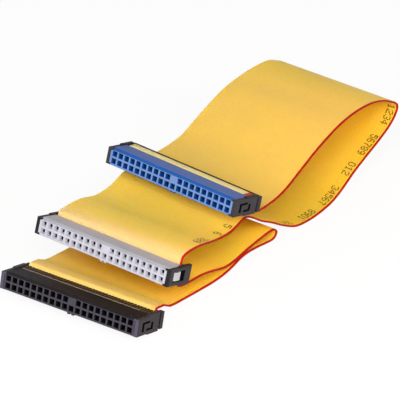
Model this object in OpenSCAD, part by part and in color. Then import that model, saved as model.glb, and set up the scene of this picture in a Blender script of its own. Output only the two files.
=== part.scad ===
// Flat ribbon cable with three crimped-on sockets: blue at one end, grey on the way, black at the other end.
// X runs across the ribbon, -Y is the way the sockets face, +Z is up. All sizes are in millimetres.
// The cable lies on the rear bottom edge of the black socket and on the trough of the ribbon.

/* [Ribbon] */
// Width of the flat ribbon
ribbon_w = 50.8; // [48:0.1:51.2]
// Thickness of the ribbon
ribbon_t = 0.65; // [0.45:0.05:0.7]
// Width of the marked core along the ribbon's edge
marked_w = 0.64; // [0.4:0.02:1.2]
// Places worked out along each stretch between two route points
route_steps = 3; // [2:1:5]

/* [Contact grid] */
// Distance from one contact to the next
pitch = 2.54; // [2.4:0.01:2.54]
// Contacts in each row
columns = 20; // [12:1:20]
// Column of the upper row that has no hole, counted from the left, which keys the plug
blocked_column = 11; // [2:1:12]
// Side of each square pin hole
cell_w = 1.9; // [1.4:0.05:2]
// Depth of each pin hole
cell_depth = 6.4; // [5:0.1:6.8]

/* [Socket body] */
// Plastic at each end of a socket body, from the middle of the last pin hole
end_land = 1.77; // [1.6:0.01:2.4]
// Height of a socket body
body_h = 5.8; // [5.4:0.1:6.6]
// Depth of a socket body from the mating face to the ribbon
body_depth = 8.2; // [7.8:0.1:10]
// How far back the sloped top edge of the mating face runs
slope_depth = 1.7; // [0.5:0.1:3]
// Height that the sloped edge loses
slope_drop = 0.5; // [0.1:0.05:0.5]
// Width of each of the two key ribs under the body
key_w = 0.9; // [0.5:0.1:1.2]
// Distance between the middles of the two key ribs
key_spread = 1.6; // [1.3:0.1:3]
// Height of the key ribs
key_h = 0.4; // [0.2:0.05:1]
// Length of the key ribs from the mating face backwards
key_depth = 5; // [2:0.1:6]

/* [Grey body] */
// Side of the square funnel at the mating face
funnel_w = 1.8; // [1.4:0.05:1.9]
// Depth of the funnel
funnel_depth = 0.9; // [0.3:0.05:1]
// Side of the small pin hole that the funnel narrows to
small_hole_w = 1.1; // [0.8:0.05:1.2]
// Depth at which the small hole opens into the contact's room
funnel_floor = 1.4; // [1.2:0.05:1.45]

/* [Cover] */
// Depth of the cover bar behind the ribbon
cover_depth = 3.1; // [2.5:0.1:5]
// Thickness of the cover's end arms
arm_t = 1.2; // [0.8:0.1:1.6]
// Extra height of the arms' rear part, above and below
arm_step = 0.35; // [0.1:0.05:0.5]
// Where the higher rear part of the arms begins
arm_step_y = 6; // [5:0.1:8]
// Length of the hooks that lap the body's front corners
hook_l = 0.6; // [0.6:0.1:1.2]
// Height of those hooks
hook_h = 0.6; // [0.6:0.1:1.2]
// Front of the latch window in each arm
window_y = 2.6; // [2.2:0.1:4]
// Length of the latch window
window_l = 6.2; // [5:0.1:6.4]
// Height of the latch window
window_h = 3.6; // [3:0.1:4]
// Width of the slots above and below the latch tongue
tongue_gap = 0.75; // [0.3:0.05:0.8]
// Length of the slots in front of the tongue and behind it
tongue_end_gap = 1.2; // [0.3:0.05:1.4]
// Pitch of the comb notches over the cover
comb_pitch = 1.27; // [1.1:0.01:1.3]
// Width of each comb notch
comb_notch_w = 0.5; // [0.3:0.05:0.8]
// Depth of each comb notch
comb_notch_d = 0.25; // [0.15:0.05:0.6]

/* [Strain relief] */
// Depth of the strain relief bar
relief_depth = 1.75; // [1.4:0.05:2.5]
// How much lower the bar is where the ribbon leaves over it
relief_drop = 0.4; // [0.3:0.05:1]
// How much lower the bar is on the side where the ribbon turns over the cover
relief_wrap_drop = 0.5; // [0.3:0.05:1.2]

/* [Contacts] */
// Thickness of the contact metal
contact_t = 0.25; // [0.2:0.05:0.3]
// Width of a contact in its pin hole
contact_w = 1.6; // [1.2:0.05:1.6]
// Gap between a contact's two fingers
finger_gap = 0.5; // [0.4:0.05:0.6]
// Length of a contact's fingers
finger_l = 3.2; // [3:0.1:4.4]
// Width of a contact's tail where it passes to the ribbon
tail_w = 0.9; // [0.7:0.05:1]
// Width of the wire slot in a contact's tail
wire_slot_w = 0.2; // [0.15:0.05:0.3]

/* [Ground bar] */
// Thickness of the ground bar
ground_t = 0.2; // [0.15:0.05:0.3]
// Depth of the ground bar without its teeth
ground_depth = 2.4; // [1.5:0.1:3]
// Length of the ground bar's teeth
tooth_l = 0.8; // [0.5:0.1:1]
// Width of the ground bar's teeth
tooth_w = 0.5; // [0.3:0.05:0.7]

/* [Fits] */
// Clearance between parts that slide together
slide_clear = 0.1; // [0.05:0.01:0.15]
// Clearance on each side of the ribbon where a socket holds it
ribbon_clear = 0.075; // [0.05:0.005:0.1]

/* [Lie of the cable] */
// Nose-up angle of the black socket
black_pitch = 12; // [8:0.5:14]
// Nose-up angle of the grey socket
grey_pitch = 15.2; // [12:0.1:17]
// Nose-up angle of the blue socket
blue_pitch = 13; // [11:0.5:15]

/* [Hidden] */

body_w = (columns - 1) * pitch + 2 * end_land;
eps = 0.01;
overlap = 0.3;
overcut = 1;

// Where the ribbon runs inside a socket, measured back from the mating face
slot_w = ribbon_t + 2 * ribbon_clear;
slot_y = body_depth + slot_w / 2;
cover_y = body_depth + slot_w;
cover_back = cover_y + cover_depth;
relief_slot_y = cover_back + slot_w / 2;
relief_y = cover_back + slot_w;
relief_back = relief_y + relief_depth;
inner_bend_r = 0.175;
bend_r = ribbon_t / 2 + inner_bend_r;
wrap_z = body_h / 2 - slot_w / 2;
arm_x = body_w / 2 + slide_clear;
cover_w = 2 * (arm_x + arm_t);
comb_count = 2 * columns;

// Each socket: [place of the middle of its mating face, [turn about X, Y and Z]]
black_seat = [[0, 0, relief_back * sin(black_pitch) + body_h / 2 * cos(black_pitch)], [-black_pitch, 0, 0]];
grey_seat = [[0, 17.9, 17.3], [-grey_pitch, 1.5, -2.3]];
blue_seat = [[0, 56.3, 27], [-blue_pitch, 2.1, -4.4]];

// The ribbon's route from the black to the grey socket, as [Y, Z] of its middle. A third number is how far its
// red edge hangs below level, in degrees. Without it, that changes evenly from one socket's to the next one's.
route_to_grey = [
  [17.5, 6.1], [21, 4.3], [28, 3.5], [38, 2.7], [46.5, 2.2], [53, 2.4], [58, 3.2], [62, 4.2], [66, 4.6],
  [74, 4], [80, 3.2], [83, 3.3], [84.4, 4.9], [82.6, 6.7], [79.5, 7], [74, 6.7], [66, 6], [58, 5], [53, 5.2],
  [47, 6.8], [40, 8.3], [32, 8.9], [28, 9.5]
];
// The route from the grey to the blue socket, up over the first bend, down to the trough and round the big loop
route_to_blue = [
  [28.6, 19.3, 0.7], [30.4, 19.5, -0.2], [33, 19.6, -0.2], [39.5, 19, 0], [48, 17, -0.5], [57, 16.8, 0.4],
  [61.5, 18, 0.8], [65.3, 18.8, 1], [69.5, 17.1, 1.3], [75, 13.7, 1.5], [82, 10.2], [88, 6.8], [94, 3.8],
  [98, 2.3], [103, 1.5], [110, 1.15], [117, 1.6], [122, 2.5], [128, 4.8], [134, 7.8], [142, 11],
  [152, 14.6], [159, 18], [162.6, 21.4, 1.6], [162.4, 23.6, 1], [158, 26, 0.6], [153, 28.1, 0.2],
  [144, 29.7, -1.5], [134, 29.9, -2.4], [124, 28.9, -2.5], [113.5, 26.1, -2.8], [105, 23.2, -2.8],
  [98, 20.6, -2.4], [91, 18.9, 0], [86, 18.3, 1.2], [80, 18.2, 2], [74.5, 18.3, 2.1]
];

// Turning a point by a socket's angles and moving it to the socket's place
function about_x(p, a) = [p.x, p.y * cos(a) - p.z * sin(a), p.y * sin(a) + p.z * cos(a)];
function about_y(p, a) = [p.x * cos(a) + p.z * sin(a), p.y, -p.x * sin(a) + p.z * cos(a)];
function about_z(p, a) = [p.x * cos(a) - p.y * sin(a), p.x * sin(a) + p.y * cos(a), p.z];
function turned(p, a) = about_z(about_y(about_x(p, a.x), a.y), a.z);
function seated(p, seat) = turned(p, seat[1]) + seat[0];

// The sockets' box on the floor, whose middle is the origin
function box_corners(seat, depth) = [
  for (sx = [-1, 1], y = [0, depth], sz = [-1, 1]) seated([sx * cover_w / 2, y, sz * body_h / 2], seat)
];
all_corners = concat(
  box_corners(black_seat, relief_back), box_corners(grey_seat, cover_back), box_corners(blue_seat, relief_back)
);
origin_shift = -[
  (min([for (p = all_corners) p.x]) + max([for (p = all_corners) p.x])) / 2,
  (min([for (p = all_corners) p.y]) + max([for (p = all_corners) p.y])) / 2,
  0
];

// An arc in a socket's side view, as points [Y, Z]
function arc(centre, r, from, to, n = 5) =
  [for (i = [0:n]) centre + r * [cos(from + (to - from) * i / n), sin(from + (to - from) * i / n)]];

// The ribbon's way through an end socket, from its cut end down, round the cover bar and out over the strain relief.
// The black socket has it this way up, and the blue one upside down.
cut_end_z = body_h / 2 - 0.15;
exit_z = body_h / 2 - 0.35;
exit_r = 1.1;
end_passage = concat(
  [[slot_y, cut_end_z], [slot_y, 0]],
  arc([slot_y + bend_r, -wrap_z + bend_r], bend_r, 180, 270),
  arc([relief_slot_y - bend_r, -wrap_z + bend_r], bend_r, 270, 360),
  [[relief_slot_y, 0], [relief_slot_y, exit_z - exit_r / 4]],
  arc([relief_slot_y + exit_r, exit_z], exit_r, 165, 85)
);
slot_end_z = body_h / 2;
middle_passage = [
  [slot_y + 0.1, -slot_end_z - 0.9], [slot_y, -slot_end_z], [slot_y, -slot_end_z / 3],
  [slot_y, slot_end_z / 3], [slot_y, slot_end_z], [slot_y + 0.2, slot_end_z + 0.9]
];

// A station is [place of the ribbon's middle, direction across the ribbon]
function across(a) = turned([1, 0, 0], a);
function passage_stations(points, seat, up) =
  [for (p = points) [seated([0, p[0], up * p[1]], seat), across(seat[1])]];
function free_stations(points, from, to) = [
  for (i = [0:len(points) - 1])
    let (
      share = (i + 1) / (len(points) + 1), p = points[i], even = from[1] * (1 - share) + to[1] * share,
      bank = len(p) > 2 ? p[2] : even.y
    )
      [[0, p[0], p[1]], across([even.x, bank, even.z])]
];
function reversed(list) = [for (i = [len(list) - 1:-1:0]) list[i]];

route = concat(
  passage_stations(end_passage, black_seat, 1),
  free_stations(route_to_grey, black_seat, grey_seat),
  passage_stations(middle_passage, grey_seat, 1),
  free_stations(route_to_blue, grey_seat, blue_seat),
  reversed(passage_stations(end_passage, blue_seat, -1))
);

// A smooth curve through the stations (Catmull-Rom, with chord-length knots)
function knot(a, b) = sqrt(norm(b - a));
function between(p0, p1, p2, p3, u) =
  let (
    d1 = knot(p0, p1), d2 = knot(p1, p2), d3 = knot(p2, p3),
    m1 = (p1 - p0) / d1 - (p2 - p0) / (d1 + d2) + (p2 - p1) / d2,
    m2 = (p2 - p1) / d2 - (p3 - p1) / (d2 + d3) + (p3 - p2) / d3,
    t1 = m1 * d2, t2 = m2 * d2
  )
  (2 * u ^ 3 - 3 * u ^ 2 + 1) * p1 + (u ^ 3 - 2 * u ^ 2 + u) * t1 + (3 * u ^ 2 - 2 * u ^ 3) * p2
  + (u ^ 3 - u ^ 2) * t2;
short_stretch = 1.5;
function steps_for(a, b) = norm(b - a) > short_stretch ? route_steps : 1;
last = len(route) - 1;
smooth = concat(
  [
    for (i = [0:last - 1])
      let (
        p1 = route[i][0], p2 = route[i + 1][0],
        p0 = i == 0 ? 2 * p1 - p2 : route[i - 1][0],
        p3 = i == last - 1 ? 2 * p2 - p1 : route[i + 2][0],
        n = steps_for(p1, p2)
      )
        for (k = [0:n - 1])
          [between(p0, p1, p2, p3, k / n), route[i][1] * (1 - k / n) + route[i + 1][1] * k / n]
  ],
  [route[last]]
);

// Unit vectors along, across and out of the ribbon at place i of the smooth curve
function unit(v) = v / norm(v);
function along(i) = unit(smooth[min(i + 1, len(smooth) - 1)][0] - smooth[max(i - 1, 0)][0]);
function outward(i) = unit(cross(smooth[i][1], along(i)));

// A strip of the ribbon from x0 to x1 across, as one closed body with four corners at each place
module ribbon_strip(x0, x1) {
  n = len(smooth);
  half = ribbon_t / 2;
  corners = [
    for (i = [0:n - 1])
      let (c = smooth[i][0], r = unit(smooth[i][1]), o = outward(i))
        each [c + r * x0 - o * half, c + r * x1 - o * half, c + r * x1 + o * half, c + r * x0 + o * half]
  ];
  sides = [
    for (i = [0:n - 2], k = [0:3])
      let (a = 4 * i + k, b = 4 * i + (k + 1) % 4)
        each k < 2 ? [[a, b, b + 4], [a, b + 4, a + 4]] : [[a, b, a + 4], [b, b + 4, a + 4]]
  ];
  ends = [[3, 2, 1, 0], [4 * n - 4, 4 * n - 3, 4 * n - 2, 4 * n - 1]];
  polyhedron(corners, concat(sides, ends));
}

// Putting a socket's pieces at its seat
module at_seat(seat) {
  translate(origin_shift + seat[0]) rotate(seat[1]) children();
}

// Middle of column i (from 1) along a row
function column_x(i) = (i - (columns + 1) / 2) * pitch;
row_z = pitch / 2;

// The body: a bar with a sloped top front edge, its pin holes and two key ribs. The grey one has funnels that
// narrow to small pin holes, and lugs on its ends. The others have square holes.
chamfer = 0.2;
module socket_body(funnels) {
  profile = [
    [0, -body_h / 2 + chamfer], [chamfer, -body_h / 2], [body_depth, -body_h / 2], [body_depth, body_h / 2],
    [slope_depth, body_h / 2], [0, body_h / 2 - slope_drop]
  ];
  difference() {
    union() {
      rotate([90, 0, 90]) translate([0, 0, -body_w / 2]) linear_extrude(body_w) polygon(profile);
      for (side = [-1, 1])
        translate([column_x(blocked_column) + side * key_spread / 2 - key_w / 2, 0, -body_h / 2 - key_h])
          cube([key_w, key_depth, key_h + chamfer + overlap]);
      if (funnels) for (side = [-1, 1]) end_lug(side);
    }
    for (i = [1:columns], up = [-1, 1])
      if (!(up == 1 && i == blocked_column))
        translate([column_x(i), 0, up * row_z]) {
          if (funnels) funnel_hole(); else square_hole(0);
          tail_passage();
        }
    for (side = [-1, 1], up = [-1, 1]) corner_notch(side, up);
    ground_slot();
  }
}

// A square room for one contact, open at the mating face where it starts there
module square_hole(start) {
  front = start > 0 ? start : -overcut;
  translate([-cell_w / 2, front, -cell_w / 2]) cube([cell_w, cell_depth - front, cell_w]);
}

// A square funnel that narrows to a small square hole. It is cut a little too long both ways.
module funnel_hole() {
  taper = (funnel_w - small_hole_w) / funnel_depth;
  wide = funnel_w + taper * overlap;
  narrow = small_hole_w - taper * overlap;
  translate([0, -overlap, 0]) rotate([-90, 0, 0]) rotate([0, 0, 45])
    cylinder(h = funnel_depth + 2 * overlap, d1 = wide * sqrt(2), d2 = narrow * sqrt(2), $fn = 4);
  translate([-small_hole_w / 2, funnel_depth / 2, -small_hole_w / 2])
    cube([small_hole_w, funnel_floor - funnel_depth / 2 + overlap, small_hole_w]);
  square_hole(funnel_floor);
}

module tail_passage() {
  w = tail_w + 2 * slide_clear;
  t = contact_t + 2 * slide_clear;
  translate([-w / 2, cell_depth - overlap, -t / 2]) cube([w, body_depth - cell_depth + overlap + overcut, t]);
}

// A lug on the body's end that the cover's window snaps over, sloped at its front
lug_clear = 0.4;
lug_slope = 0.8;
module end_lug(side) {
  lug_front = window_y + lug_clear;
  lug_back = lug_front + window_l * 0.55;
  lug_h = window_h - 2 * lug_clear;
  translate([side * body_w / 2, 0, -lug_h / 2]) linear_extrude(lug_h)
    polygon([
      [-side * overcut, lug_front], [side * arm_t * 0.6, lug_front], [side * arm_t, lug_front + lug_slope],
      [side * arm_t, lug_back], [-side * overcut, lug_back]
    ]);
}

// Room for the cover's hooks at the corners of the mating face
module corner_notch(side, up) {
  l = hook_l + slide_clear;
  h = hook_h + slide_clear;
  translate([
    side > 0 ? body_w / 2 - l : -body_w / 2 - overcut, -overcut, up > 0 ? body_h / 2 - h : -body_h / 2 - overcut
  ]) cube([l + overcut, l + overcut, h + overcut]);
}

// The slot for the ground bar, which goes in from the ribbon's side
ground_w = columns * pitch - 1.6;
ground_y = body_depth - ground_depth - tooth_l;
module ground_slot() {
  w = ground_w + 2 * slide_clear;
  t = ground_t + 2 * slide_clear;
  translate([-w / 2, ground_y - slide_clear, -t / 2]) cube([w, body_depth, t]);
}

// One contact, stamped flat: two fingers that grip a pin, and a forked tail for one wire
contact_y = cell_depth - slide_clear;
root_l = 0.8;
lead_in = 0.5;
module contact() {
  finger_w = (contact_w - finger_gap) / 2;
  front = contact_y - finger_l - root_l;
  tip = body_depth - slide_clear;
  half_side = [
    [finger_gap / 2, front + finger_l], [finger_gap / 2, front + lead_in], [contact_w / 2 - finger_w * 0.6, front],
    [contact_w / 2, front], [contact_w / 2, contact_y], [tail_w / 2, contact_y], [tail_w / 2, tip],
    [wire_slot_w / 2, tip - wire_slot_w], [wire_slot_w / 2, contact_y + root_l / 2]
  ];
  linear_extrude(contact_t)
    polygon(concat(half_side, [for (p = reversed(half_side)) [-p.x, p.y]]));
}

module contact_row(up) {
  for (i = [1:columns])
    if (!(up == 1 && i == blocked_column))
      translate([column_x(i), 0, up * row_z - contact_t / 2]) contact();
}

// The bar that joins every second wire to ground, with one tooth for each such wire
module ground_bar() {
  translate([0, 0, -ground_t / 2]) linear_extrude(ground_t) union() {
    translate([-ground_w / 2, ground_y]) square([ground_w, ground_depth]);
    for (i = [0:comb_count - 2])
      translate([(i - (comb_count - 2) / 2) * comb_pitch - tooth_w / 2, ground_y + ground_depth - eps])
        square([tooth_w, tooth_l - slide_clear + eps]);
  }
}

// The cover: a bar behind the ribbon and two arms along the body's ends. up is the side that the comb is on.
module cover(up, tongue) {
  difference() {
    union() {
      translate([-cover_w / 2, cover_y, -body_h / 2]) cube([cover_w, cover_depth, body_h]);
      for (side = [-1, 1]) end_arm(side);
    }
    // room for the ribbon over the bar
    translate([-arm_x, cover_y - overcut, up > 0 ? -body_h / 2 - overcut : body_h / 2 - slot_w])
      cube([2 * arm_x, cover_depth + 2 * overcut, slot_w + overcut]);
    for (i = [0:comb_count - 1])
      translate([
        (i - (comb_count - 1) / 2) * comb_pitch - comb_notch_w / 2, cover_y - overcut,
        up > 0 ? body_h / 2 - comb_notch_d : -body_h / 2 - overcut
      ]) cube([comb_notch_w, cover_depth + 2 * overcut, comb_notch_d + overcut]);
    for (side = [-1, 1])
      if (tongue) tongue_slots(side); else latch_window(side);
  }
}

module end_arm(side) {
  x0 = side > 0 ? arm_x : -arm_x - arm_t;
  tall = body_h + 2 * arm_step;
  translate([x0, 0, -body_h / 2]) cube([arm_t, cover_back, body_h]);
  translate([x0, arm_step_y, -tall / 2]) cube([arm_t, cover_back - arm_step_y, tall]);
  for (up = [-1, 1])
    translate([
      side > 0 ? arm_x - slide_clear - hook_l : -arm_x - eps, 0,
      up > 0 ? body_h / 2 - hook_h : -body_h / 2
    ]) cube([hook_l + slide_clear + eps, hook_l, hook_h]);
}

module latch_window(side) {
  translate([side * (arm_x + arm_t / 2), window_y + window_l / 2, 0])
    cube([arm_t + 2 * overcut, window_l, window_h], center = true);
}

// Two bent slots that leave a springy tongue in the arm, held at two corners
module tongue_slots(side) {
  x = side * (arm_x + arm_t / 2) - arm_t / 2 - overcut / 2;
  w = arm_t + overcut;
  top = window_h / 2;
  shelf = top - 0.35 - tongue_gap;
  jog_y = window_y + window_l * 0.7 - tongue_gap;
  foot_y = window_y + window_l * 0.4;
  window_back = window_y + window_l;
  translate([x, window_y, -top]) cube([w, tongue_end_gap, shelf + tongue_gap + top]);
  translate([x, window_y, shelf]) cube([w, jog_y + tongue_gap - window_y, tongue_gap]);
  translate([x, window_back - tongue_end_gap, -top]) cube([w, tongue_end_gap, shelf + top]);
  translate([x, foot_y, -top]) cube([w, window_back - foot_y, tongue_gap]);
}

// The strain relief: a bar behind the cover, lower where the ribbon passes over and under it, with a higher
// block and a foot at each end. up is the side that the ribbon leaves on. The black socket rests on its blocks.
module strain_relief(up) {
  bottom = -body_h / 2 + (up > 0 ? relief_wrap_drop : relief_drop);
  bar_h = body_h - relief_wrap_drop - relief_drop;
  block_w = cover_w / 2 - ribbon_w / 2 - slide_clear;
  block_h = body_h - (up > 0 ? 0 : relief_wrap_drop);
  translate([-cover_w / 2, relief_y, bottom]) cube([cover_w, relief_depth, bar_h]);
  for (side = [-1, 1]) {
    translate([side > 0 ? cover_w / 2 - block_w : -cover_w / 2, relief_y, -body_h / 2])
      cube([block_w, relief_depth, block_h]);
    translate([side > 0 ? arm_x : -arm_x - arm_t, cover_back + slide_clear / 2, bottom])
      cube([arm_t, slot_w, bar_h]);
  }
}

black_plastic = [0.23, 0.22, 0.24];
cover_black = [0.2, 0.19, 0.2];
gold = [0.83, 0.68, 0.35];
tin = [0.75, 0.75, 0.73];

module black_body() { color(black_plastic) at_seat(black_seat) socket_body(false); }
module black_upper_contacts() { color(gold) at_seat(black_seat) contact_row(1); }
module black_lower_contacts() { color(gold) at_seat(black_seat) contact_row(-1); }
module black_ground_bar() { color(tin) at_seat(black_seat) ground_bar(); }
module black_cover() { color(cover_black) at_seat(black_seat) cover(1, true); }
module black_strain_relief() { color(cover_black) at_seat(black_seat) strain_relief(1); }
module grey_body() { color([0.82, 0.82, 0.87]) at_seat(grey_seat) socket_body(true); }
module grey_upper_contacts() { color(gold) at_seat(grey_seat) contact_row(1); }
module grey_lower_contacts() { color(gold) at_seat(grey_seat) contact_row(-1); }
module grey_ground_bar() { color(tin) at_seat(grey_seat) ground_bar(); }
module grey_cover() { color(cover_black) at_seat(grey_seat) cover(-1, false); }
module blue_body() { color([0.3, 0.45, 0.8]) at_seat(blue_seat) socket_body(false); }
module blue_upper_contacts() { color(gold) at_seat(blue_seat) contact_row(1); }
module blue_lower_contacts() { color(gold) at_seat(blue_seat) contact_row(-1); }
module blue_ground_bar() { color(tin) at_seat(blue_seat) ground_bar(); }
module blue_cover() { color(cover_black) at_seat(blue_seat) cover(-1, true); }
module blue_strain_relief() { color(cover_black) at_seat(blue_seat) strain_relief(-1); }
module ribbon() {
  color([0.93, 0.74, 0.28]) translate(origin_shift) ribbon_strip(-ribbon_w / 2, ribbon_w / 2 - marked_w);
}
module marked_core() {
  color([0.75, 0.12, 0.05]) translate(origin_shift) ribbon_strip(ribbon_w / 2 - marked_w, ribbon_w / 2);
}

black_body();
black_upper_contacts();
black_lower_contacts();
black_ground_bar();
black_cover();
black_strain_relief();
grey_body();
grey_upper_contacts();
grey_lower_contacts();
grey_ground_bar();
grey_cover();
blue_body();
blue_upper_contacts();
blue_lower_contacts();
blue_ground_bar();
blue_cover();
blue_strain_relief();
ribbon();
marked_core();
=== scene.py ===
"""Looks of the ribbon cable: a yellow flat ribbon with a red edge, and its blue, grey and black
sockets.

Blender works in metres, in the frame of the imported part. The route, the sockets' sizes, their zones
of colour and the printed digits are in millimetres, as in the part's source, and MM makes them
metres. Places along the ribbon in its material are in metres from its black end. Angles are in
degrees.
"""

from math import cos, radians, sin

import bpy
import numpy as np
from mathutils import Matrix, Vector


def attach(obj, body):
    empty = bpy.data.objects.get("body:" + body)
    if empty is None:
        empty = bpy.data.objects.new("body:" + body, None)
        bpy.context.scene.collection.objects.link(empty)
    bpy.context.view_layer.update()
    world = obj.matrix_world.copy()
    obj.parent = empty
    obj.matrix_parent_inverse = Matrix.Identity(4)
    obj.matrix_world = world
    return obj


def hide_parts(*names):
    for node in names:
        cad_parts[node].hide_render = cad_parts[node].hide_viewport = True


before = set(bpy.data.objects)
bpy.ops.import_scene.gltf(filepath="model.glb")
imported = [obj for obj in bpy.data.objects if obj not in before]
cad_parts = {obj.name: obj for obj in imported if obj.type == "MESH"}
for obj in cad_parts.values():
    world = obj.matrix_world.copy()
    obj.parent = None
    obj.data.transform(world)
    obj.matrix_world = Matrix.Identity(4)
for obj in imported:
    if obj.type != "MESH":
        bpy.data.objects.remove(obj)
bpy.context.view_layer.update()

MM = 0.001

# The camera

CAMERA_AT = np.array([495.4, -712.2, 474.1]) * MM
CAMERA_TURN, CAMERA_RISE, CAMERA_ROLL = 33.457, 27.158, 1.705
LENS_MM, SENSOR_MM = 270.0, 36.0


def camera_axes():
    """Right, up and back of the camera: back points from the object to the camera, and the roll
    turns right and up about it."""
    a, e, r = radians(CAMERA_TURN), radians(CAMERA_RISE), radians(CAMERA_ROLL)
    back = np.array([sin(a) * cos(e), -cos(a) * cos(e), sin(e)])
    level = np.array([cos(a), sin(a), 0.0])
    rise = np.cross(back, level)
    return cos(r) * level + sin(r) * rise, -sin(r) * level + cos(r) * rise, back


def place_camera():
    data = bpy.data.cameras.new("camera")
    data.lens, data.sensor_width, data.sensor_fit = LENS_MM, SENSOR_MM, "HORIZONTAL"
    obj = bpy.data.objects.new("camera", data)
    right, up, back = camera_axes()
    turn = np.eye(4)
    turn[:3, 0], turn[:3, 1], turn[:3, 2], turn[:3, 3] = right, up, back, CAMERA_AT
    obj.matrix_world = Matrix(turn.tolist())
    bpy.context.scene.collection.objects.link(obj)
    bpy.context.scene.camera = obj


# Sizes of the ribbon and the sockets, which repeat the part's source

RIBBON_W, RIBBON_T, CORES = 50.8, 0.65, 80
CORE_PITCH = RIBBON_W / CORES
BODY_W, BODY_H, BODY_DEPTH = 51.8, 5.8, 8.2
COVER_DEPTH, RELIEF_DEPTH, ARM_T = 3.1, 1.75, 1.2
SLIDE_CLEAR, RIBBON_CLEAR = 0.1, 0.075
SLOT_W = RIBBON_T + 2 * RIBBON_CLEAR
SLOT_Y = BODY_DEPTH + SLOT_W / 2
COVER_BACK = BODY_DEPTH + SLOT_W + COVER_DEPTH
COVER_Y = COVER_BACK - COVER_DEPTH
RELIEF_SLOT_Y = COVER_BACK + SLOT_W / 2
RELIEF_BACK = COVER_BACK + SLOT_W + RELIEF_DEPTH
ARM_X = BODY_W / 2 + SLIDE_CLEAR
COVER_W = 2 * (ARM_X + ARM_T)

# The ribbon in an end socket: its turns round the cover bar, how far its cut end and its way out
# lie below the body's top, and the turn with which it leaves
INNER_BEND_R = 0.175
CUT_DROP, EXIT_DROP = 0.15, 0.35
EXIT_R, EXIT_FROM, EXIT_TO = 1.1, 165, 85
# The ribbon in the middle socket: how far its ends stand out of the slot and lean back
LEAD, LEAN_IN, LEAN_OUT = 0.9, 0.1, 0.2

# Where each socket's mating face has its middle, and the socket's turns about X, Y and Z
BLACK_PITCH = 12.0
BLACK_SEAT = (
    (0.0, 0.0, RELIEF_BACK * sin(radians(BLACK_PITCH)) + BODY_H / 2 * cos(radians(BLACK_PITCH))),
    (-BLACK_PITCH, 0.0, 0.0),
)
GREY_SEAT = ((0.0, 17.9, 17.3), (-15.2, 1.5, -2.3))
BLUE_SEAT = ((0.0, 56.3, 27.0), (-13.0, 2.1, -4.4))
SEATS = {"black": BLACK_SEAT, "grey": GREY_SEAT, "blue": BLUE_SEAT}
DEPTHS = {"black": RELIEF_BACK, "grey": COVER_BACK, "blue": RELIEF_BACK}

# The ribbon's free runs between the sockets, as places along and up. A third number is how far the
# red edge hangs below level, in degrees. Without it, that changes evenly.
ROUTE_TO_GREY = [
    (17.5, 6.1), (21, 4.3), (28, 3.5), (38, 2.7), (46.5, 2.2), (53, 2.4), (58, 3.2), (62, 4.2),
    (66, 4.6), (74, 4), (80, 3.2), (83, 3.3), (84.4, 4.9), (82.6, 6.7), (79.5, 7), (74, 6.7),
    (66, 6), (58, 5), (53, 5.2), (47, 6.8), (40, 8.3), (32, 8.9), (28, 9.5),
]
ROUTE_TO_BLUE = [
    (28.6, 19.3, 0.7), (30.4, 19.5, -0.2), (33, 19.6, -0.2), (39.5, 19, 0), (48, 17, -0.5),
    (57, 16.8, 0.4), (61.5, 18, 0.8), (65.3, 18.8, 1), (69.5, 17.1, 1.3), (75, 13.7, 1.5),
    (82, 10.2), (88, 6.8), (94, 3.8), (98, 2.3), (103, 1.5), (110, 1.15), (117, 1.6), (122, 2.5),
    (128, 4.8), (134, 7.8), (142, 11), (152, 14.6), (159, 18), (162.6, 21.4, 1.6),
    (162.4, 23.6, 1), (158, 26, 0.6), (153, 28.1, 0.2), (144, 29.7, -1.5), (134, 29.9, -2.4),
    (124, 28.9, -2.5), (113.5, 26.1, -2.8), (105, 23.2, -2.8), (98, 20.6, -2.4), (91, 18.9, 0),
    (86, 18.3, 1.2), (80, 18.2, 2), (74.5, 18.3, 2.1),
]
# The longest step along the ribbon's curve, and the most that it turns in one, in degrees
LONGEST_STEP, SHARPEST_TURN = 3.7, 20.0


def turn_matrix(angles):
    """Turn about X, then Y, then Z."""
    x, y, z = (radians(a) for a in angles)
    about_x = np.array([[1, 0, 0], [0, cos(x), -sin(x)], [0, sin(x), cos(x)]])
    about_y = np.array([[cos(y), 0, sin(y)], [0, 1, 0], [-sin(y), 0, cos(y)]])
    about_z = np.array([[cos(z), -sin(z), 0], [sin(z), cos(z), 0], [0, 0, 1]])
    return about_z @ about_y @ about_x


def seated(points, seat):
    """Points in a socket's own axes, turned and moved to the socket's seat."""
    return np.atleast_2d(points) @ turn_matrix(seat[1]).T + np.array(seat[0])


def origin_shift():
    """Minus the middle of the box round the sockets' corners, across and along."""
    corners = np.concatenate([
        seated([(sx * COVER_W / 2, y, sz * BODY_H / 2)
                for sx in (-1, 1) for y in (0, DEPTHS[k]) for sz in (-1, 1)], SEATS[k])
        for k in SEATS
    ])
    middle = (corners.min(0) + corners.max(0)) / 2
    return np.array([-middle[0], -middle[1], 0.0])


def arc(centre, r, start, end, n=5):
    """Points of an arc in n even steps: centre + r * (cosine, sine) of the angle."""
    t = np.radians(np.linspace(start, end, n + 1))
    return np.stack([centre[0] + r * np.cos(t), centre[1] + r * np.sin(t)], axis=1)


def end_passage():
    """The ribbon's way through an end socket as (y, z): down behind the body, round under the cover
    bar, up behind it and out over the strain relief."""
    bend = RIBBON_T / 2 + INNER_BEND_R
    low = -(BODY_H / 2 - SLOT_W / 2) + bend
    exit_z = BODY_H / 2 - EXIT_DROP
    return np.concatenate([
        [(SLOT_Y, BODY_H / 2 - CUT_DROP), (SLOT_Y, 0)],
        arc((SLOT_Y + bend, low), bend, 180, 270),
        arc((RELIEF_SLOT_Y - bend, low), bend, 270, 360),
        [(RELIEF_SLOT_Y, 0), (RELIEF_SLOT_Y, exit_z - EXIT_R / 4)],
        arc((RELIEF_SLOT_Y + EXIT_R, exit_z), EXIT_R, EXIT_FROM, EXIT_TO),
    ])


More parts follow.
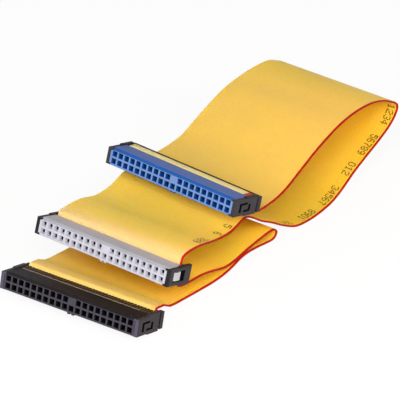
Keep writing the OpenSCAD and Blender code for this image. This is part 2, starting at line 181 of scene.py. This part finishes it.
def middle_passage():
    """The ribbon's way straight up through the middle socket's slot as (y, z)."""
    end = BODY_H / 2
    return np.array([
        (SLOT_Y + LEAN_IN, -end - LEAD), (SLOT_Y, -end), (SLOT_Y, -end / 3), (SLOT_Y, end / 3),
        (SLOT_Y, end), (SLOT_Y + LEAN_OUT, end + LEAD),
    ])


def held(points, seat, up=1):
    """Stations where a socket holds the ribbon: places, and the direction across. With up = -1 the
    ribbon leaves on the socket's lower side."""
    local = np.stack([np.zeros(len(points)), points[:, 0], up * points[:, 1]], axis=1)
    across = turn_matrix(seat[1]) @ np.array([1.0, 0, 0])
    return seated(local, seat), np.tile(across, (len(points), 1))


def free(points, start, end):
    """Stations between two sockets: the direction across turns evenly from one socket's to the next
    one's, apart from what the points' third numbers say."""
    n = len(points)
    share = ((np.arange(n) + 1) / (n + 1))[:, None]
    angles = np.array(start[1]) * (1 - share) + np.array(end[1]) * share
    angles[:, 1] = [p[2] if len(p) > 2 else even for p, even in zip(points, angles[:, 1])]
    places = np.array([(0.0, p[0], p[1]) for p in points])
    return places, np.array([turn_matrix(a) @ np.array([1.0, 0, 0]) for a in angles])


def route():
    """All stations from the cut end in the black socket to the one in the blue socket."""
    passage = end_passage()
    last = held(passage, BLUE_SEAT, -1)
    runs = [
        held(passage, BLACK_SEAT),
        free(ROUTE_TO_GREY, BLACK_SEAT, GREY_SEAT),
        held(middle_passage(), GREY_SEAT),
        free(ROUTE_TO_BLUE, GREY_SEAT, BLUE_SEAT),
        (last[0][::-1], last[1][::-1]),
    ]
    return np.concatenate([r[0] for r in runs]), np.concatenate([r[1] for r in runs])


def smooth(places, across):
    """A Catmull-Rom curve through the stations, with knots that grow as the root of the chord.

    Between two stations it is the cubic with their two slopes. A stretch is cut into steps no
    longer than LONGEST_STEP and turning no more than SHARPEST_TURN."""
    before = np.vstack([2 * places[0] - places[1], places])
    after = np.vstack([places, 2 * places[-1] - places[-2]])
    knots = np.sqrt(np.linalg.norm(after - before, axis=1))[:, None]
    d1, d2, d3 = knots[:-2], knots[1:-1], knots[2:]
    p0, p1, p2, p3 = before[:-2], places[:-1], places[1:], after[2:]
    m1 = ((p1 - p0) / d1 - (p2 - p0) / (d1 + d2) + (p2 - p1) / d2) * d2
    m2 = ((p2 - p1) / d2 - (p3 - p1) / (d2 + d3) + (p3 - p2) / d3) * d2
    run = np.linalg.norm(p2 - p1, axis=1)
    turn = np.degrees(np.arccos(np.clip(
        (m1 * m2).sum(1) / np.linalg.norm(m1, axis=1) / np.linalg.norm(m2, axis=1), -1, 1)))
    steps = np.ceil(np.maximum(run / LONGEST_STEP, turn / SHARPEST_TURN))
    steps = np.maximum(1, steps).astype(int)
    stretch = np.repeat(np.arange(len(steps)), steps)
    u = np.concatenate([np.arange(n) / n for n in steps])[:, None]
    q1, q2, s1, s2 = p1[stretch], p2[stretch], m1[stretch], m2[stretch]
    line = ((2 * u**3 - 3 * u**2 + 1) * q1 + (u**3 - 2 * u**2 + u) * s1
            + (3 * u**2 - 2 * u**3) * q2 + (u**3 - u**2) * s2)
    side = across[stretch] * (1 - u) + across[stretch + 1] * u
    line = np.vstack([line, places[-1]])
    side = np.vstack([side, across[-1]])
    return line, side / np.linalg.norm(side, axis=1)[:, None]


def ribbon_line():
    """Middle line, direction across, outward direction and length so far, in metres."""
    line, side = smooth(*route())
    line = (line + origin_shift()) * MM
    ahead = np.gradient(line, axis=0)
    outward = np.cross(side, ahead)
    outward /= np.linalg.norm(outward, axis=1)[:, None]
    steps = np.linalg.norm(np.diff(line, axis=0), axis=1)
    return line, side, outward, np.concatenate([[0], np.cumsum(steps)])


# The ribbon's cross-section

GROOVE = 0.105  # depth of the grooves between the cores
# One core's face, from after its left groove to its right one: how far across the core, and how far
# down into the groove. The marked core shows its side and is rounder.
PLAIN_CORE = np.array([(0.2, 0.0), (0.8, 0.0), (1.0, 1.0)])
ROUND_CORE = np.array([
    (0.06, 0.62), (0.2, 0.2), (0.36, 0.0), (0.64, 0.0), (0.8, 0.2), (0.94, 0.62), (1.0, 1.0)])


def cores_profile(first, last, core):
    """Closed cross-section of cores first to last: x = left + (number + across) * pitch, and the
    height is half the thickness less the share down times the groove's depth. The ribbon's own two
    edges lie twice that depth down, and the lower face mirrors the upper one. It runs clockwise,
    along the upper face and back along the lower one."""
    half = RIBBON_T / 2
    left = -RIBBON_W / 2 + first * CORE_PITCH
    number = np.arange(last - first + 1)[:, None]
    x = (left + (number + core[:, 0]) * CORE_PITCH).ravel()
    z = np.tile(half - GROOVE * core[:, 1], len(number))
    x, z = np.append(left, x), np.append(half - (GROOVE if first else 2 * GROOVE), z)
    if last == CORES - 1:
        z[-1] = half - 2 * GROOVE
    above = np.stack([x, z], axis=1)
    below = np.stack([x, -z], axis=1)[::-1]
    return np.concatenate([above, below])


def carried_profile(name, profile, line, side, outward, along):
    """A closed profile (across, out) carried along the line:
    point = line + side * across + outward * out. UV is (core number across, metres along). The
    faces and both end caps point outwards where the profile runs clockwise."""
    n, m = len(line), len(profile)
    points = (line[:, None, :] + side[:, None, :] * profile[None, :, :1] * MM
              + outward[:, None, :] * profile[None, :, 1:] * MM).reshape(-1, 3)
    i, j = np.meshgrid(np.arange(n - 1), np.arange(m), indexing="ij")
    k = (j + 1) % m
    quads = np.stack([i * m + j, i * m + k, (i + 1) * m + k, (i + 1) * m + j], axis=-1)
    quads = quads.reshape(-1, 4)
    loops = np.concatenate([quads.ravel(), np.arange(m)[::-1], np.arange(m) + (n - 1) * m])
    starts = np.concatenate([np.arange(len(quads)) * 4, [len(quads) * 4, len(quads) * 4 + m]])
    mesh = bpy.data.meshes.new(name)
    mesh.vertices.add(len(points))
    mesh.vertices.foreach_set("co", points.ravel())
    mesh.loops.add(len(loops))
    mesh.loops.foreach_set("vertex_index", loops.astype(np.int32))
    mesh.polygons.add(len(starts))
    mesh.polygons.foreach_set("loop_start", starts.astype(np.int32))
    soft = np.ones(len(starts), bool)
    soft[-2:] = False
    mesh.polygons.foreach_set("use_smooth", soft)
    core = (profile[:, 0] + RIBBON_W / 2) / CORE_PITCH
    uv = np.stack([np.tile(core, n), np.repeat(along, m)], axis=1)
    layer = mesh.uv_layers.new(name="lie")
    layer.data.foreach_set("uv", uv[loops].ravel())
    mesh.update()
    mesh.validate()
    return linked(name, mesh)


def linked(name, mesh):
    obj = bpy.data.objects.new(name, mesh)
    bpy.context.scene.collection.objects.link(obj)
    return obj


# The printed numbers: plain counting digits of square dots, five wide and seven high

DIGITS = {
    "0": (".###.", "#...#", "#...#", "#...#", "#...#", "#...#", ".###."),
    "1": ("..#..", ".##..", "..#..", "..#..", "..#..", "..#..", ".###."),
    "2": (".###.", "#...#", "....#", "..##.", ".#...", "#....", "#####"),
    "3": (".###.", "#...#", "....#", "..##.", "....#", "#...#", ".###."),
    "4": ("...#.", "..##.", ".#.#.", "#..#.", "#####", "...#.", "...#."),
    "5": ("#####", "#....", "####.", "....#", "....#", "#...#", ".###."),
    "6": (".###.", "#....", "#....", "####.", "#...#", "#...#", ".###."),
    "7": ("#####", "....#", "...#.", "..#..", "..#..", "..#..", "..#.."),
    "8": (".###.", "#...#", "#...#", ".###.", "#...#", "#...#", ".###."),
    "9": (".###.", "#...#", "#...#", ".####", "....#", "....#", ".###."),
}
INK_DOT, INK_LIFT = 0.37, 0.02  # side of a dot, and how far it lies above the cores
DOT_STEP, DOT_ROW, DIGIT_PITCH = 0.36, 0.42, 2.2
PRINT_TOP = 24.0  # where the digits' tops lie across the ribbon, from its middle
# Each group of digits and how far along the ribbon from its black end the group starts
PRINT_GROUPS = (
    ("1234", 302.4), ("56789", 288.4), ("012", 273.2), ("34567", 261.4), ("8901", 245.8),
    ("234", 231.0), ("5", 188.4), ("6", 182.2), ("789", 174.4),
)


def digit_dots(digit):
    """The dots of one digit as (column from the left, row from the top)."""
    return [(column, row) for row, dots in enumerate(DIGITS[digit])
            for column, dot in enumerate(dots) if dot == "#"]


def printed_numbers(line, side, outward, along):
    """The digits on the ribbon's upper face, along its red edge. Every dot is a small square that
    faces outwards: point = line + side * across + outward * (half the thickness + lift)."""
    corners, half = [], INK_DOT / 2
    for text, start in PRINT_GROUPS:
        for place, digit in enumerate(text):
            for column, row in digit_dots(digit):
                s = start - place * DIGIT_PITCH - column * DOT_STEP
                x = PRINT_TOP - row * DOT_ROW
                corners += [(x - half, s - half), (x + half, s - half),
                            (x + half, s + half), (x - half, s + half)]
    x, s = np.array(corners).T
    s = s * MM
    point, across, out = (np.stack([np.interp(s, along, v[:, k]) for k in range(3)], axis=1)
                          for v in (line, side, outward))
    points = point + across * x[:, None] * MM + out * (RIBBON_T / 2 + INK_LIFT) * MM
    mesh = bpy.data.meshes.new("printed_numbers")
    mesh.from_pydata(points.tolist(), [], np.arange(len(points)).reshape(-1, 4).tolist())
    return linked("printed_numbers", mesh)


# Nodes that the materials are built from


def node(tree, kind, inputs=None, **settings):
    """A new node. Each input gets a value, or a link where it is another node's output."""
    made = tree.nodes.new(kind)
    for key, value in settings.items():
        setattr(made, key, value)
    for key, value in (inputs or {}).items():
        if isinstance(value, bpy.types.NodeSocket):
            tree.links.new(value, made.inputs[key])
        else:
            made.inputs[key].default_value = value
    return made


def maths(tree, operation, *terms, **settings):
    """One sum of up to three terms."""
    made = node(tree, "ShaderNodeMath", dict(enumerate(terms)), operation=operation, **settings)
    return made.outputs[0]


def ranged(tree, value, source=(0.0, 1.0), result=(0.0, 1.0), eased=False):
    """A value carried from one range to another and kept in it, evenly or eased at both ends."""
    made = node(tree, "ShaderNodeMapRange",
                {"Value": value, "From Min": source[0], "From Max": source[1],
                 "To Min": result[0], "To Max": result[1]},
                interpolation_type="SMOOTHSTEP" if eased else "LINEAR")
    return made.outputs[0]


def laid_over(tree, share, under, over):
    """One colour laid over another by a share from 0 to 1."""
    made = node(tree, "ShaderNodeMix", {"Factor": share, "A": under, "B": over}, data_type="RGBA")
    return made.outputs["Result"]


def noise(tree, place, scale, detail, roughness=0.5):
    made = node(tree, "ShaderNodeTexNoise",
                {"Vector": place, "Scale": scale, "Detail": detail, "Roughness": roughness})
    return made.outputs[0]


def object_place(tree):
    return node(tree, "ShaderNodeTexCoord").outputs["Object"]


def new_group(name, inputs, outputs):
    """An empty node group with named inputs and outputs, and its first and last node."""
    tree = bpy.data.node_groups.new(name, "ShaderNodeTree")
    for label, kind, value in inputs:
        made = tree.interface.new_socket(label, in_out="INPUT", socket_type="NodeSocket" + kind)
        made.default_value = value
    for label, kind in outputs:
        tree.interface.new_socket(label, in_out="OUTPUT", socket_type="NodeSocket" + kind)
    return tree, tree.nodes.new("NodeGroupInput"), tree.nodes.new("NodeGroupOutput")


def in_socket_group():
    """A place in a socket's own axes, in millimetres: the object's place less the socket's, turned
    back."""
    tree, start, end = new_group(
        "in_socket", [("Seat", "Vector", (0, 0, 0)), ("Turn", "Vector", (0, 0, 0))],
        [("Place", "Vector")])
    back = node(tree, "ShaderNodeMapping",
                {"Vector": object_place(tree), "Location": start.outputs["Seat"],
                 "Rotation": start.outputs["Turn"]}, vector_type="TEXTURE")
    scaled = node(tree, "ShaderNodeVectorMath", {0: back.outputs[0], "Scale": 1 / MM},
                  operation="SCALE")
    tree.links.new(scaled.outputs[0], end.inputs["Place"])
    return tree


def moulded_group():
    """Moulded plastic: a fine grain in the surface, broad faint cloudiness in the colour, and
    scuffs that are lighter and rougher."""
    tree, start, end = new_group(
        "moulded",
        [("Colour", "Color", (0.5, 0.5, 0.5, 1)), ("Scuffed", "Color", (0.6, 0.6, 0.6, 1)),
         ("Roughness", "Float", 0.5), ("Grain", "Float", 0.3), ("Scuffs", "Float", 0.5)],
        [("Colour", "Color"), ("Roughness", "Float"), ("Normal", "Vector")])
    given = start.outputs
    place = object_place(tree)
    cloud = noise(tree, place, 160.0, 3.0)
    fine = noise(tree, place, 5200.0, 2.0)
    drawn_out = node(tree, "ShaderNodeMapping", {"Vector": place, "Scale": (0.35, 1.0, 1.0)})
    rub = noise(tree, drawn_out.outputs[0], 900.0, 5.0, 0.7)
    scuffs = maths(tree, "MULTIPLY", ranged(tree, rub, (0.56, 0.78)), given["Scuffs"],
                   use_clamp=True)
    shade = maths(tree, "MULTIPLY", ranged(tree, cloud, result=(0.86, 1.12)),
                  ranged(tree, fine, result=(0.92, 1.08)))
    grey = node(tree, "ShaderNodeCombineColor", {k: shade for k in ("Red", "Green", "Blue")})
    tinted = node(tree, "ShaderNodeMix",
                  {"Factor": 1.0, "A": given["Colour"], "B": grey.outputs[0]},
                  data_type="RGBA", blend_type="MULTIPLY", clamp_factor=True)
    colour = laid_over(tree, scuffs, tinted.outputs["Result"], given["Scuffed"])
    rough = maths(tree, "MULTIPLY_ADD", scuffs, 0.25, given["Roughness"], use_clamp=True)
    bump = node(tree, "ShaderNodeBump",
                {"Height": fine, "Strength": given["Grain"], "Distance": 0.00006})
    tree.links.new(colour, end.inputs["Colour"])
    tree.links.new(rough, end.inputs["Roughness"])
    tree.links.new(bump.outputs[0], end.inputs["Normal"])
    return tree


# Materials


def rgb(red, green, blue):
    """A screen colour from 0 to 255 as linear light."""
    c = np.array([red, green, blue]) / 255
    linear = np.where(c <= 0.04045, c / 12.92, ((c + 0.055) / 1.055) ** 2.4)
    return (*linear.tolist(), 1.0)


def blank_material(name):
    material = bpy.data.materials.new(name)
    material.use_nodes = True
    tree = material.node_tree
    return material, tree, tree.nodes["Principled BSDF"]


def zoned_colour(tree, colour, socket, zones):
    """A colour with others laid over it, one after another. Each zone is a colour and the ranges,
    in millimetres in the socket's own axes, that it fills."""
    place, turn = SEATS[socket]
    own = node(tree, "ShaderNodeGroup",
               {"Seat": (np.array(place) + origin_shift()) * MM, "Turn": np.radians(turn)},
               node_tree=GROUPS["in_socket"])
    axes = node(tree, "ShaderNodeSeparateXYZ", {0: own.outputs[0]}).outputs
    for over, ranges in zones:
        inside = 1.0
        for axis, (low, high) in ranges.items():
            band = maths(tree, "COMPARE", axes[axis], (low + high) / 2, (high - low) / 2)
            inside = maths(tree, "MULTIPLY", band, inside)
        colour = laid_over(tree, inside, colour, over)
    return colour


def moulded_material(name, socket, colour, scuffed, zones, roughness, grain, scuffs, specular):
    material, tree, shader = blank_material(name)
    group = node(tree, "ShaderNodeGroup",
                 {"Colour": zoned_colour(tree, colour, socket, zones), "Scuffed": scuffed,
                  "Roughness": roughness, "Grain": grain, "Scuffs": scuffs},
                 node_tree=GROUPS["moulded"])
    for out, into in (("Colour", "Base Color"), ("Roughness", "Roughness"), ("Normal", "Normal")):
        tree.links.new(group.outputs[out], shader.inputs[into])
    shader.inputs["Specular IOR Level"].default_value = specular
    return material


def metal_material(name, colour, tarnish, roughness):
    """Drawn metal: fine streaks along Y in its colour, roughness and surface."""
    material, tree, shader = blank_material(name)
    drawn = node(tree, "ShaderNodeMapping",
                 {"Vector": object_place(tree), "Scale": (6.0, 1.0, 6.0)})
    streak = noise(tree, drawn.outputs[0], 700.0, 4.0)
    rough = ranged(tree, streak, result=(roughness, roughness + 0.2))
    bump = node(tree, "ShaderNodeBump", {"Height": streak, "Distance": 0.00002, "Strength": 0.3})
    tree.links.new(laid_over(tree, streak, colour, tarnish), shader.inputs["Base Color"])
    tree.links.new(rough, shader.inputs["Roughness"])
    tree.links.new(bump.outputs[0], shader.inputs["Normal"])
    shader.inputs["Metallic"].default_value = 1.0
    return material


# Where the ribbon's tones change, in metres along it from its black end
CUT_END = 0.00025  # up to here is the face of the cut end
# Where the ribbon turns over the blue socket's cover it is painted paler, as sheen.
TURN_START, TURN_FADE = 0.4062, 0.0008  # it turns over the blue socket's cover
# It bows down to the grey and black sockets, where a paler tone is painted as sheen: from, to, and
# the share of that tone there
BOWS = ((0.164, 0.1555, 1.0), (0.024, 0.0155, 0.5))
BOW_REST = 0.004  # that tone stays this far past the bow
# Stretches of another yellow, as painted light and shade: the deeper yellow is bounced light inside
# the loop and on the lower sheet, the duller one shade on the loop's outer face. Each is a middle,
# half length and tone
STRETCHES = ((0.088, 0.064, "bounced_light"), (0.268, 0.062, "bounced_light"), (0.372, 0.044, "dulled_shade"))
STRETCH_FADE = 0.012
# The cut end's last cores are painted dark, as shade.
CUT_CORES = 74  # cores whose cut end is pale
RUN_CORES = 2  # cores beside the marked one that its colour has run onto at the turn
# The grooves between the cores are painted a darker tone, as shade.
GROOVE_EDGES = (0.32, 0.5)  # where a groove's tone starts and is full, from the core's middle


def jacket_material(name, tones, roughness, through, specular):
    """The ribbon's jacket, laid by its UV map: painted darker in the grooves between the cores as
    shade, with a few stretches of another yellow that are painted shade and bounced light, faint
    cloudy patches and a fine grain.

    Where the ribbon bows down to the black and grey sockets and turns over the blue one's cover it is
    painted paler, as sheen, and over that cover the marked core's colour has run onto the cores
    beside it. The cut end is pale but for its last cores, which are painted dark as shade."""
    material, tree, shader = blank_material(name)
    lie = node(tree, "ShaderNodeUVMap", uv_map="lie").outputs[0]
    core, metres = node(tree, "ShaderNodeSeparateXYZ", {0: lie}).outputs[:2]
    place = object_place(tree)
    fine = noise(tree, place, 4200.0, 2.0)

    # Painted shade in the grooves between the cores
    from_middle = maths(tree, "SUBTRACT", maths(tree, "FRACT", core), 0.5)
    groove = ranged(tree, maths(tree, "ABSOLUTE", from_middle), GROOVE_EDGES, eased=True)
    colour = laid_over(tree, groove, tones["top"], tones["groove"])
    # Stretches of painted bounced light and painted shade
    for middle, reach, tone in STRETCHES:
        away = maths(tree, "ABSOLUTE", maths(tree, "SUBTRACT", metres, middle))
        within = ranged(tree, away, (reach, reach - STRETCH_FADE), eased=True)
        other = laid_over(tree, groove, tones[tone], tones["groove"])
        colour = laid_over(tree, within, colour, other)
    patch = ranged(tree, noise(tree, place, 55.0, 4.0), (0.45, 0.8), (0.0, 0.2))
    colour = laid_over(tree, patch, colour, tones["stain"])
    # Painted sheen where the ribbon bows down to the grey and black sockets
    for start, end, share in BOWS:
        bow_sheen = ranged(tree, metres, (start, end), (0.0, share), eased=True)
        here = maths(tree, "MULTIPLY", bow_sheen, maths(tree, "GREATER_THAN", metres, end - BOW_REST))
        colour = laid_over(tree, here, colour, tones["bow_sheen"])
    # Painted sheen where the ribbon turns over the blue socket's cover
    turn = ranged(tree, metres, (TURN_START, TURN_START + TURN_FADE), eased=True)
    colour = laid_over(tree, turn, colour, tones["bent"])
    beside = maths(tree, "GREATER_THAN", core, CORES - 1 - RUN_CORES)
    colour = laid_over(tree, maths(tree, "MULTIPLY", beside, turn), colour, tones["mark"])
    # Painted shade on the last cores of the cut end
    last = maths(tree, "GREATER_THAN", core, CUT_CORES)
    cut = laid_over(tree, last, tones["cut"], tones["last"])
    colour = laid_over(tree, maths(tree, "LESS_THAN", metres, CUT_END), colour, cut)

    rough = ranged(tree, fine, result=(roughness - 0.06, roughness + 0.1))
    bump = node(tree, "ShaderNodeBump", {"Height": fine, "Distance": 0.00004, "Strength": 0.25})
    tree.links.new(colour, shader.inputs["Base Color"])
    tree.links.new(rough, shader.inputs["Roughness"])
    tree.links.new(bump.outputs[0], shader.inputs["Normal"])
    shader.inputs["Subsurface Weight"].default_value = through
    shader.inputs["Subsurface Radius"].default_value = (1.0, 0.75, 0.12)
    shader.inputs["Subsurface Scale"].default_value = 0.002
    shader.inputs["Specular IOR Level"].default_value = specular
    return material


def ink_material():
    """Printing ink that is worn thin in places."""
    material, tree, shader = blank_material("print_ink")
    worn = noise(tree, object_place(tree), 900.0, 3.0)
    colour = laid_over(tree, worn, rgb(56, 42, 8), rgb(112, 84, 22))
    tree.links.new(colour, shader.inputs["Base Color"])
    shader.inputs["Roughness"].default_value = 0.6
    shader.inputs["Specular IOR Level"].default_value = 0.2
    return material


def dress(node_name, material):
    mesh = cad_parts[node_name].data
    mesh.materials.clear()
    mesh.materials.append(material)


# Light and floor

WHITE = (1, 1, 1, 1)
FLOOR_GREY = (0.86, 0.86, 0.86, 1)
FLOOR_HALF, FLOOR_DROP = 1.5, 0.0001
FLOOR_WHITE_SHARE = 0.9
WORLD_LIGHT = 0.2
LAMP_TARGET = (0.0, 0.03, 0.015)
LAMP_SIZE, LAMP_COLOUR = 0.6, (1.0, 0.99, 0.97)
# Each lamp's place, in metres, and its power, in watts
LAMPS = {
    "key": ((0.5, -0.75, 0.72), 13.0),
    "front": ((-0.1, -1.2, 0.3), 7.2),
    "side": ((1.05, -0.1, 0.45), 8.4),
    "left": ((-0.7, -0.8, 0.5), 2.0),
}


def lamp(name, at, power):
    data = bpy.data.lights.new(name, "AREA")
    data.size, data.energy, data.color = LAMP_SIZE, power, LAMP_COLOUR
    obj = linked(name, data)
    obj.location = at
    obj.rotation_euler = (Vector(LAMP_TARGET) - Vector(at)).to_track_quat("-Z", "Y").to_euler()


def world_light():
    """A dim even light. The camera and reflections see white instead."""
    world = bpy.data.worlds.new("studio")
    bpy.context.scene.world = world
    world.use_nodes = True
    tree = world.node_tree
    ground = tree.nodes["Background"]
    ground.inputs["Color"].default_value = WHITE
    ground.inputs["Strength"].default_value = WORLD_LIGHT
    rays = node(tree, "ShaderNodeLightPath").outputs
    clear = node(tree, "ShaderNodeBackground", {"Color": WHITE, "Strength": 1.0})
    seen = maths(tree, "MAXIMUM", rays["Is Camera Ray"], rays["Is Glossy Ray"])
    both = node(tree, "ShaderNodeMixShader",
                {0: seen, 1: ground.outputs[0], 2: clear.outputs[0]})
    tree.links.new(both.outputs[0], tree.nodes["World Output"].inputs["Surface"])


def floor_material():
    """White for the camera and in reflections, with part of its own shading, so that a faint shadow
    stays."""
    material, tree, shader = blank_material("floor_white")
    shader.inputs["Base Color"].default_value = FLOOR_GREY
    shader.inputs["Roughness"].default_value = 0.9
    rays = node(tree, "ShaderNodeLightPath").outputs
    seen = maths(tree, "MAXIMUM", rays["Is Camera Ray"], rays["Is Glossy Ray"])
    seen = maths(tree, "MAXIMUM", seen, rays["Is Transmission Ray"])
    share = maths(tree, "MULTIPLY", seen, FLOOR_WHITE_SHARE)
    white = node(tree, "ShaderNodeEmission", {"Color": WHITE, "Strength": 1.0})
    both = node(tree, "ShaderNodeMixShader", {0: share, 1: shader.outputs[0], 2: white.outputs[0]})
    tree.links.new(both.outputs[0], tree.nodes["Material Output"].inputs["Surface"])
    return material


def floor():
    size = FLOOR_HALF
    mesh = bpy.data.meshes.new("floor")
    corners = [(-size, -size, 0), (size, -size, 0), (size, size, 0), (-size, size, 0)]
    mesh.from_pydata(corners, [], [(0, 1, 2, 3)])
    obj = linked("floor", mesh)
    obj.location = (0, 0, -FLOOR_DROP)
    mesh.materials.append(floor_material())


# Camera and ribbon

place_camera()

GROUPS = {"moulded": moulded_group(), "in_socket": in_socket_group()}

RED = rgb(178, 12, 0)
# Painted light and shade in the jacket's tones: the groove tone, the duller yellow and the cut end's
# last cores are painted shade, the deeper yellow is painted bounced light, and the paler tones where
# the ribbon bows and turns are painted sheen.
YELLOW_TONES = {
    "top": rgb(246, 194, 78), "bounced_light": rgb(250, 195, 60), "dulled_shade": rgb(224, 185, 82),
    "groove": rgb(200, 136, 14), "stain": rgb(248, 192, 60), "cut": rgb(226, 206, 160),
    "last": rgb(70, 52, 34), "bow_sheen": rgb(234, 184, 124), "bent": rgb(255, 203, 134), "mark": RED,
}
RED_TONES = {
    **dict.fromkeys(YELLOW_TONES, RED),
    "groove": rgb(140, 6, 3), "stain": rgb(164, 8, 4), "last": rgb(60, 14, 10),
}
jacket = jacket_material("ribbon_jacket", YELLOW_TONES, roughness=0.5, through=1.0, specular=0.2)
red_jacket = jacket_material("marked_jacket", RED_TONES, roughness=0.5, through=0.1, specular=0.1)

line, side, outward, along = ribbon_line()
MARKED = CORES - 1
ribbon = carried_profile(
    "ribbon_sheet", cores_profile(0, MARKED - 1, PLAIN_CORE), line, side, outward, along)
ribbon.data.materials.append(jacket)
edge = carried_profile(
    "marked_edge", cores_profile(MARKED, MARKED, ROUND_CORE), line, side, outward, along)
edge.data.materials.append(red_jacket)
for piece, replaced, slot in (
        (ribbon, "ribbon", "ribbon_jacket"), (edge, "marked_core", "marked_jacket")):
    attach(piece, "root")
    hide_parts(replaced)
ink = printed_numbers(line, side, outward, along)
ink.data.materials.append(ink_material())
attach(ink, "root")

# Zones of the sockets' colours, in millimetres in a socket's own axes: X across, Y from the mating
# face back, Z up. A zone goes a little past the face that it colours. Most zones are painted shade
# and painted light.


def at_both_ends(near, far, **ranges):
    """A zone from near to far across, and the same one mirrored at the other end."""
    return [{"X": (-far, -near), **ranges}, {"X": (near, far), **ranges}]


def laid(tone, zones):
    return [(tone, zone) for zone in zones]


SLOPE_START, SLOPE_END = 0.04, 1.74
BODY_END = BODY_DEPTH + 0.1
COVER_SPAN = (COVER_Y, COVER_BACK)
# The insides of the holes, the slope above the front face and the top and rear behind it, which the
# bodies have painted darker as shade
INSIDE = {"X": (-25.5, 25.5), "Y": (1.1, BODY_END), "Z": (-2.45, 2.45)}
SLOPE = {"Y": (SLOPE_START, SLOPE_END)}
REAR = {"Y": (SLOPE_END, BODY_END)}
KEYS = {"Z": (-3.4, -2.93)}
# The comb's top and the arms' tops are painted darker as shade, and the black cover's arm fronts
# lighter as light.
COMB_FLOOR = {"X": (-25.3, 25.3), "Y": COVER_SPAN, "Z": (2.5, 2.7)}
COMB_TOP = {"X": (-25.9, 25.9), "Y": COVER_SPAN, "Z": (2.85, 3.0)}
ARM_TOPS = at_both_ends(25.9, 27.4, Z=(2.86, 3.4))
ARM_FRONTS = at_both_ends(25.3, 27.4, Y=(-0.1, 0.06))
ARM_NOSES = at_both_ends(25.3, 27.4, Y=(-0.1, 0.9))
# The ends of the body and the sides of the slots in the arms, which lie in the shade
ENDS = at_both_ends(25.93, 25.97)
SLOTS = at_both_ends(25.9, 27.15, Y=(2.5, 8.9), Z=(-1.85, 1.85))
# The strain relief's blocks beside the ribbon, and its joints with the cover's arms
BLOCKS = at_both_ends(25.45, 27.4)
JOINTS = at_both_ends(25.9, 27.4, Y=(COVER_BACK, COVER_BACK + SLOT_W))

# Socket materials

SHADE = rgb(9, 8, 10)
COVER, COVER_SCUFFED = rgb(50, 46, 49), rgb(92, 87, 90)
ARM_TOP_SHADE = rgb(34, 28, 24)
# Each body keeps its base colour on its front face; its slope, top and rear and the insides of its
# holes are painted darker as shade, and the blue top and rear are also painted greyer as sheen.
BODIES = {
    "black": moulded_material(
        "black_plastic", "black", rgb(58, 55, 63), rgb(96, 92, 102),
        [(rgb(25, 21, 24), SLOPE), (rgb(24, 18, 20), REAR), (rgb(10, 9, 14), INSIDE),
         (rgb(44, 41, 48), KEYS), *laid(SHADE, ENDS)],
        roughness=0.5, grain=0.4, scuffs=0.3, specular=0.06),
    "grey": moulded_material(
        "grey_plastic", "grey", rgb(168, 167, 177), rgb(186, 184, 193),
        [(rgb(166, 162, 166), REAR), (rgb(22, 22, 28), INSIDE), (rgb(150, 148, 158), KEYS),
         *laid(SHADE, ENDS)],
        roughness=0.55, grain=0.4, scuffs=0.25, specular=0.1),
    "blue": moulded_material(
        "blue_plastic", "blue", rgb(94, 122, 174), rgb(120, 146, 198),
        [(rgb(22, 84, 160), SLOPE), (rgb(76, 96, 154), REAR), (rgb(14, 66, 140), INSIDE),
         (rgb(36, 62, 116), KEYS), *laid(SHADE, ENDS)],
        roughness=0.5, grain=0.35, scuffs=0.25, specular=0.08),
}
# Painted light and shade on the covers: the tops of the comb and of the arms are darker as shade, and
# the fronts of the black cover's arms lighter as light. The black comb's floor is painted
# yellow-brown and the grey cover's arm noses darker.
COVER_ZONES = {
    "black": [(rgb(140, 100, 22), COMB_FLOOR), (rgb(32, 25, 19), COMB_TOP),
              *laid(rgb(70, 67, 81), ARM_FRONTS)],
    "grey": laid(ARM_TOP_SHADE, ARM_TOPS) + laid(rgb(30, 27, 32), ARM_NOSES),
    "blue": laid(ARM_TOP_SHADE, ARM_TOPS),
}
COVERS = {
    socket: moulded_material(
        socket + "_cover_plastic", socket, COVER, COVER_SCUFFED, zones + laid(SHADE, SLOTS),
        roughness=0.5, grain=0.4, scuffs=0.3, specular=0.08)
    for socket, zones in COVER_ZONES.items()
}
# The strain reliefs are painted a brownish black, darker than the covers, as shade; their blocks keep
# the cover's colour and their joints take the painted shade.
RELIEFS = {
    socket: moulded_material(
        socket + "_relief_plastic", socket, rgb(34, 24, 12), COVER_SCUFFED,
        laid(COVER, BLOCKS) + laid(SHADE, JOINTS),
        roughness=0.5, grain=0.4, scuffs=0.3, specular=0.04)
    for socket in ("black", "blue")
}
contact_metal = metal_material("contact_metal", rgb(150, 122, 70), rgb(112, 86, 44), 0.28)
tinned_metal = metal_material("tinned_metal", rgb(200, 200, 196), rgb(160, 160, 158), 0.35)

for socket in SEATS:
    dress(socket + "_body", BODIES[socket])
    dress(socket + "_cover", COVERS[socket])
    for row in ("upper", "lower"):
        dress(f"{socket}_{row}_contacts", contact_metal)
    dress(socket + "_ground_bar", tinned_metal)
for socket, plastic in RELIEFS.items():
    dress(socket + "_strain_relief", plastic)

floor()
world_light()
for name, (at, power) in LAMPS.items():
    lamp(name, at, power)

bpy.context.scene.view_settings.view_transform = "Standard"
